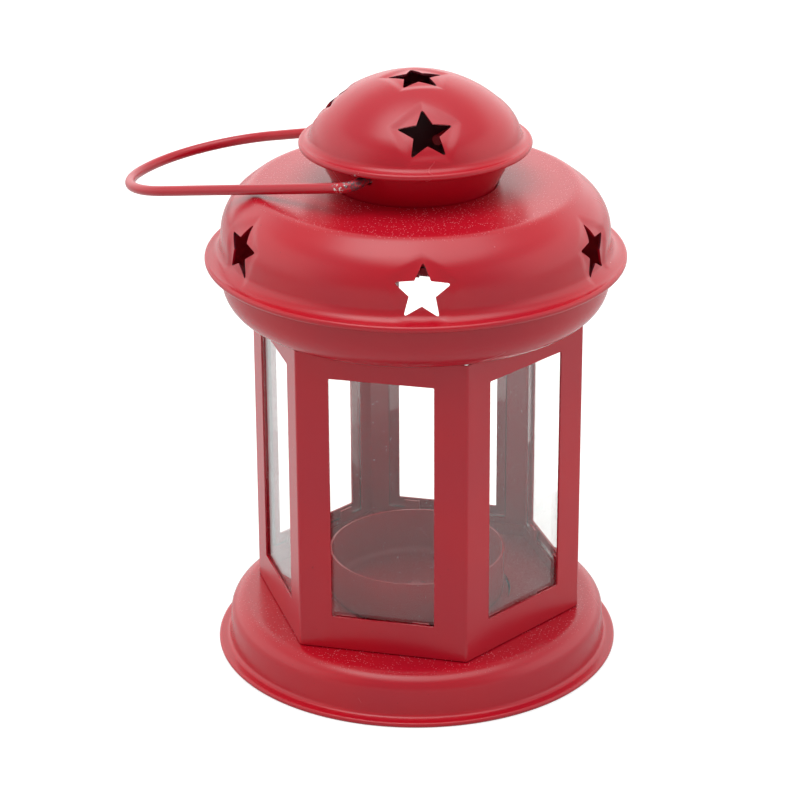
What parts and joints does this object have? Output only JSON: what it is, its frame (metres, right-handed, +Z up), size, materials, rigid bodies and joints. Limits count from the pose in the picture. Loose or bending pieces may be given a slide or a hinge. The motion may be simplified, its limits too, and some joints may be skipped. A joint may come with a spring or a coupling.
{
  "type": "tealight lantern",
  "caption": "Small tealight lantern in red painted tinplate: round base, six-sided glazed housing, domed roof and cap punched with stars, and a swinging wire handle.",
  "frame": {"origin": "centre of the flat ring under the base dish that the lantern stands on", "axes": "+Z up along the lantern's middle line, towards the cap; -Y towards the window side that the picture shows most squarely; +X to the right as seen from there"},
  "size_m": [0.1273, 0.1016, 0.1474],
  "materials": {
    "red_paint": "satin",
    "handle_paint": "satin, chipped at the bends",
    "window_glass": "clear, slightly dusty"
  },
  "bodies": {
    "base": {"base_dish": "red_paint", "candle_cup": "red_paint", "cup_rivet": "red_paint"},
    "housing": {"lock_ring": "red_paint", "housing": "red_paint", "glass_pane_1": "window_glass", "glass_pane_2": "window_glass", "glass_pane_3": "window_glass", "glass_pane_4": "window_glass", "glass_pane_5": "window_glass", "glass_pane_6": "window_glass", "skirt_ring": "red_paint", "roof": "red_paint", "neck": "red_paint", "cap": "red_paint"},
    "handle": {"handle": "handle_paint"}
  },
  "joints": [
    {"name": "base_twist", "type": "hinge", "parent": "base", "child": "housing", "pos_m": [0, 0, 0.0125], "axis": [0, 0, 1], "range_deg": [0, 20]},
    {"name": "handle_swing", "type": "hinge", "parent": "housing", "child": "handle", "pos_m": [0, 0, 0.12798], "axis": [0.2874, 0.9578, 0], "range_deg": [0, 204]}
  ]
}
